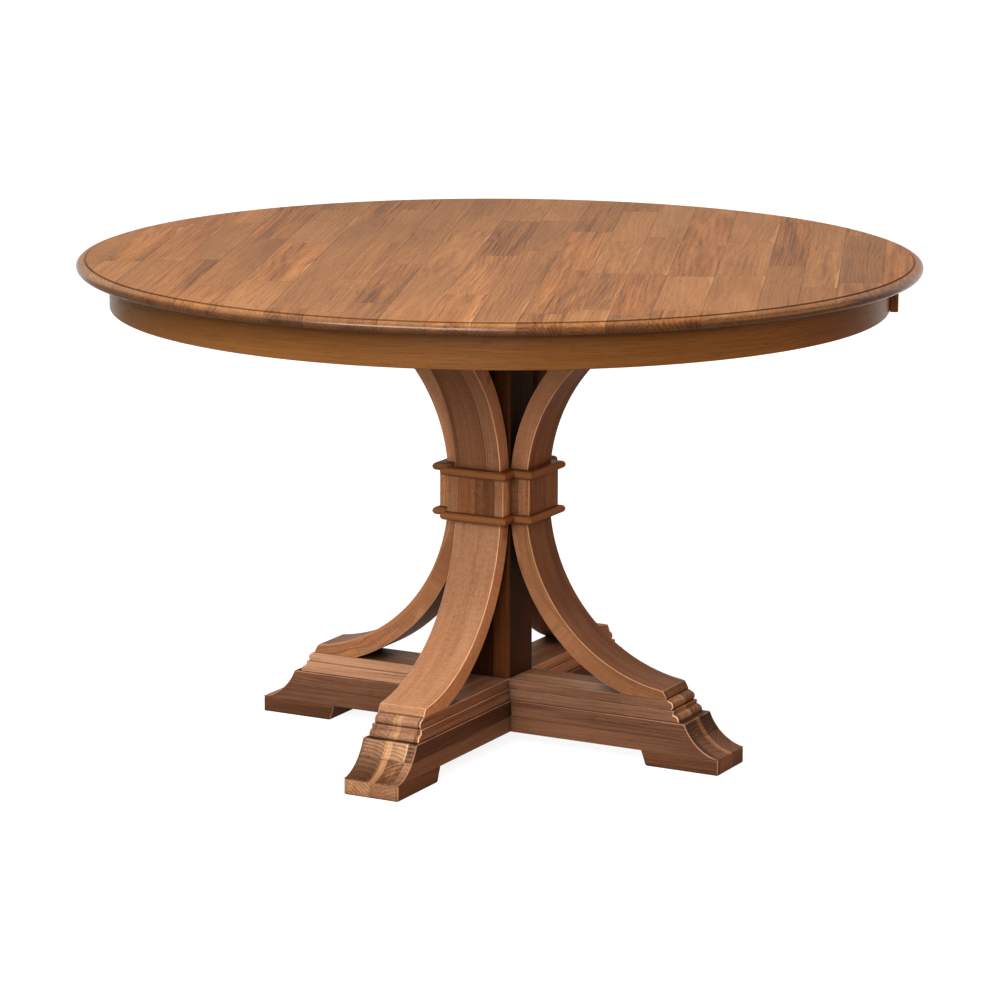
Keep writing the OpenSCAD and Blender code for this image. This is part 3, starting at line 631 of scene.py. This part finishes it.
def make_collar():
    """Four boards across the faces, four corner pieces, and a rounded nosing above and below them."""
    z0, z1 = board_low.z, board_high.z
    middle = (z0 + z1) / 2
    face = carried(block_profile(OUTER, board_high.x, z0, z1, 0.0012), 2 * board_high.y, 0.0012)
    out, side = OUTER, board_high.y
    plan = eased([[HALF, -HALF], [HALF, -out], [side, -out], [side, -side], [out, -side], [out, -HALF]],
                 [0.0003, 0.0003, 0.0006, 0.0006, 0.0006, 0.0003])
    points, faces, worn = upright(carried(plan, z1 - z0, 0.0006))
    corner = (points + [0, 0, middle], faces, worn)
    corners = {"front_right": 3, "back_right": 0, "back_left": 1, "front_left": 2}
    for arm, turns in ARMS.items():
        piece("collar_face_" + arm, [face], collar_wood, ["collar_board_" + arm],
              lambda p: p[:, [2, 1, 0]], turns, 0.37 + turns * 0.19)
    corner_grain = lambda p: np.column_stack([p[:, 2], p[:, 0] + p[:, 1], p[:, 0] - p[:, 1]])
    for name, turns in corners.items():
        piece("corner_" + name, [corner], collar_wood, ["collar_corner_" + name], corner_grain, turns,
              0.52 + turns * 0.13)
    wide = nosing_high.x - OUTER
    tall = nosing_high.z - nosing_low.z
    r = tall / 2
    for level, low in (("lower", nosing_low.z), ("upper", z1)):
        nose = arc((wide - r, low + r), r, -84, 84, 13)
        section = eased([[0, low], [wide - r, low], *nose, [wide - r, low + tall], [0, low + tall]],
                        [0.0002, 0, *[0] * 13, 0, 0.0002])
        fronts = mitred_bar([[out, -HALF], [out, HALF]], [[1, -1], [1, 1]], section)
        returns = mitred_bar([[out, HALF], [HALF, HALF], [HALF, out]], [[1, 1]] * 3, section)
        for label, shape, grain in (("fronts", fronts, lambda p: p[:, [1, 2, 0]]),
                                    ("returns", returns, lambda p: np.column_stack(
                                        [p[:, 0] - p[:, 1], p[:, 2], np.minimum(p[:, 0], p[:, 1])]))):
            shapes, woods = [], []
            for turns in range(4):
                p, f, w = shape
                shapes.append((quarter_turns(p, turns), f, w))
                woods.append(grain(p) + [turns * 0.9, 0, 0])
            piece("nosing_" + level + "_" + label, shapes, nosing_wood, [level + "_nosing_" + label],
                  lambda p, woods=woods: np.concatenate(woods), 0, 0.4 if level == "lower" else 0.6)


def beam_profile(notch_above):
    """A foot beam from its side: level, with a hollow that sweeps down to each toe, and a notch at the crossing."""
    reach, z0, z1 = beam_high.x, beam_low.z, beam_high.z
    half, middle = beam_high.y, (z0 + z1) / 2
    start, stop = np.array([cap_high.x + 0.011, z1]), np.array([reach - 0.001, z0 + 0.001])
    chord = np.linalg.norm(stop - start)
    rise = math.sqrt(COVE_R ** 2 - (chord / 2) ** 2)
    centre = (start + stop) / 2 + rise / chord * np.array([start[1] - stop[1], stop[0] - start[0]])
    a, b = (math.degrees(math.atan2(*(p - centre)[::-1])) for p in (start, stop))
    cove = arc(centre, COVE_R, b, a if a < b else a - 360, 15)
    right = [[reach, z0], [reach, z0 + 0.001], *cove[1:-1], start]
    round_ = [0.0003, 0.0003, *[0] * 13, 0.0032]
    left, round_left = [[-x, z] for x, z in right[::-1]], round_[::-1]
    above = [[half, z1], [half, middle], [-half, middle], [-half, z1]] if notch_above else []
    below = [] if notch_above else [[-half, z0], [-half, middle], [half, middle], [half, z0]]
    points = np.array([*right, *above, *left, *below], float)
    profile = eased(points, [*round_, *[0.0004] * len(above), *round_left, *[0.0004] * len(below)])
    toe = np.abs(profile[0][:, 0]) > start[0] + 0.01
    profile[2][toe] = np.minimum(profile[2][toe], 0.0002 + 0.4 * np.maximum(profile[0][toe, 1] - z0, 0))
    return profile


def cap_profiles():
    """The two tiers of a cap: the upper ends in a bead and the lower in an ovolo, each above a narrow fillet."""
    z0, z1, z2 = cap_low.z, TIER_Z, CAP_Z
    bead = arc((CAP_END, z2 - 0.0015 - 0.0075), 0.0075, -46, 90, 11)
    upper = eased([[0, z1], [bead[0, 0], z1], *bead, [CAP_END - 0.001, z2], [0, z2]],
                  [0.0003, 0.0003, *[0] * 11, 0.0006, 0.0003])
    ovolo = arc((TIER_END, z0 + 0.0015), 0.0095, 0, 90, 11)
    lower = eased([[0, z0], [TIER_END + 0.0095, z0], *ovolo, [TIER_END, z1], [0, z1]],
                  [0.0003, 0.0003, *[0] * 11, 0.0006, 0.0003])
    return upper, lower


def make_feet():
    """Two crossed beams, and on each arm a moulded cap in two tiers and a pad. The beam along Y has
    pale ends."""
    width = 2 * beam_high.y
    for name, notch, turns in (("across", True, 0), ("along", False, 1)):
        beam = carried(beam_profile(notch), width, 0.0022)
        timber = dark_beam_wood if turns else beam_wood
        piece("beam_" + name, [beam], timber, ["foot_beam_" + name], None, turns, 0.23 + turns * 0.31,
              ends=-1 if turns else 1)
    upper, lower = cap_profiles()
    cap = [carried(upper, 2 * HALF, 0.0024, mitred=True), carried(lower, 2 * cap_high.y, 0.0030, mitred=True)]
    x0, x1, z1 = pad_low.x, pad_high.x, pad_high.z
    nook = arc((x0 + 0.005 + 0.006, 0.006), 0.006, 180, 270, 7)
    pad = carried(eased([[x1, 0], [x1, z1], [x0, z1], *nook], [0.0022, 0.0024, 0.0004, *[0] * 7]), width, 0.0036)
    for arm, turns in ARMS.items():
        ends = 0.5 if turns % 2 else 1
        piece("cap_" + arm, cap, cap_wood, ["foot_cap_" + arm], None, turns, 0.09 + turns * 0.27, ends=ends)
        piece("pad_" + arm, [pad], pad_wood, ["foot_pad_" + arm], None, turns, 0.33 + turns * 0.17, ends=ends - 1)


def finish_kept_parts():
    """The parts that keep their made shape get their finishes: plain timber out of sight, and plated steel."""
    steel_nodes = ["top_screws", "apron_joint_screws", "tie_rod", "tie_rod_nuts", "tie_rod_washers",
                   "brace_screws", "leg_screws", "pad_screws"]
    timber_nodes = ["rail_across", "rail_along", "apron_glue_blocks", "apron_backing_block", "leg_dowels"]
    for nodes, material in ((steel_nodes, steel), (timber_nodes, plain_wood)):
        for node in nodes:
            for slot in frame["nodes"][node].material_slots:
                slot.material = material


make_top()
make_apron()
make_post()
make_legs_and_braces()
make_collar()
make_feet()
finish_kept_parts()


# ---------------------------------------------------------------- floor, light and camera
def make_floor():
    """A wide pale floor with a faint mottle, so that it isn't a single flat colour."""
    mesh = bpy.data.meshes.new("floor")
    mesh.from_pydata([(-30, -30, 0), (30, -30, 0), (30, 30, 0), (-30, 30, 0)], [], [(0, 1, 2, 3)])
    made = bpy.data.objects.new("floor", mesh)
    scene.collection.objects.link(made)
    g = Graph("pale_floor")
    spot = g.node("ShaderNodeTexCoord", None, None, "Object")
    colour = g.blend(g.noise(spot, (1.5, 1.5, 1.5)), (0.30, 0.30, 0.30, 1), (0.32, 0.32, 0.32, 1))
    g.set(g.shader.inputs, {"Base Color": colour, "Roughness": 0.9, "Specular IOR Level": 0.1,
                            "Emission Color": (1.0, 1.0, 1.0, 1.0), "Emission Strength": 0.72})
    mesh.materials.append(g.material)
    made.visible_diffuse = made.visible_glossy = False


def softbox(name, place, aim, size, power, tone=(1, 1, 1)):
    """A rectangular area light that faces a point."""
    light = bpy.data.lights.new(name, "AREA")
    light.shape, light.size, light.size_y = "RECTANGLE", *size
    light.energy, light.color = power, tone
    made = bpy.data.objects.new(name, light)
    made.location = place
    made.rotation_mode = "QUATERNION"
    made.rotation_quaternion = (Vector(aim) - Vector(place)).to_track_quat("-Z", "Y")
    scene.collection.objects.link(made)


def make_camera():
    """The camera: its axes are a level right vector and its up vector, both turned by the roll about the view."""
    yaw, pitch, roll = math.radians(28.04), math.radians(11.983), math.radians(0.196)
    right = np.array([math.cos(yaw), math.sin(yaw), 0])
    ahead = np.array([-math.sin(yaw) * math.cos(pitch), math.cos(yaw) * math.cos(pitch), -math.sin(pitch)])
    up = np.cross(right, ahead)
    axes = (math.cos(roll) * right + math.sin(roll) * up, math.cos(roll) * up - math.sin(roll) * right, -ahead)
    data = bpy.data.cameras.new("camera")
    data.sensor_width, data.lens, data.shift_x = 36.0, 146.7, 0.0008
    data.clip_start, data.clip_end = 0.1, 100.0
    made = bpy.data.objects.new("camera", data)
    matrix = np.eye(4)
    matrix[:3, :3] = np.column_stack(axes)
    matrix[:3, 3] = (2.9019, -5.4479, 1.6880)
    made.matrix_world = Matrix(matrix.tolist())
    scene.collection.objects.link(made)
    scene.camera = made


def sunlight(name, towards, strength, spread, tone=(1, 1, 1), glare=True):
    """A distant soft light. It shines from a direction, spread over a wide cone, so the floor is evenly lit. One
    that makes no glare isn't mirrored in the polished top."""
    light = bpy.data.lights.new(name, "SUN")
    light.energy, light.angle, light.color = strength, math.radians(spread), tone
    made = bpy.data.objects.new(name, light)
    made.rotation_mode = "QUATERNION"
    made.rotation_quaternion = Vector(towards).to_track_quat("Z", "Y")
    made.visible_glossy = glare
    scene.collection.objects.link(made)


def make_surroundings():
    """A dim warm surround for the object, a little brighter in reflections. Seen directly it is as pale as the
    floor, so there is no horizon."""
    world = bpy.data.worlds.new("studio")
    world.use_nodes = True
    nodes, links = world.node_tree.nodes, world.node_tree.links
    path = nodes.new("ShaderNodeLightPath")
    seen = nodes.new("ShaderNodeMath")
    seen.operation = "MULTIPLY_ADD"
    links.new(path.outputs["Is Glossy Ray"], seen.inputs[0])
    seen.inputs[1].default_value = 0.32
    links.new(path.outputs["Is Camera Ray"], seen.inputs[2])
    level = nodes.new("ShaderNodeMapRange")
    level.inputs["To Min"].default_value, level.inputs["To Max"].default_value = 0.16, 1.0
    links.new(seen.outputs[0], level.inputs["Value"])
    links.new(level.outputs[0], nodes["Background"].inputs[1])
    shade = nodes.new("ShaderNodeMix")
    shade.data_type = "RGBA"
    links.new(seen.outputs[0], shade.inputs[0])
    shade.inputs[6].default_value = (1.0, 0.80, 0.62, 1.0)
    shade.inputs[7].default_value = (1.0, 1.0, 1.0, 1.0)
    links.new(shade.outputs[2], nodes["Background"].inputs[0])
    scene.world = world


make_floor()
make_surroundings()
sunlight("front", (0.26, -0.95, 0.14), 4.5, 50, (0.94, 1.0, 1.08), glare=False)
sunlight("window", (-0.50, -0.45, 0.74), 0.85, 60)
sunlight("warm_side", (0.90, 0.38, 0.22), 1.3, 50, (1.0, 0.52, 0.20))
sunlight("overhead", (0.05, -0.2, 1.0), 0.2, 110)
sunlight("back_fill", (-0.35, 0.90, 0.30), 0.9, 90)
softbox("near_softbox", (0.1, -2.0, 2.1), (0, -0.1, 0.76), (1.6, 1.2), 52)
softbox("rim_softbox", (0.9, -2.2, 1.15), (0.1, -0.62, 0.74), (0.8, 0.35), 9)
make_camera()
scene.view_settings.view_transform = "Standard"
scene.view_settings.look = "Medium High Contrast"
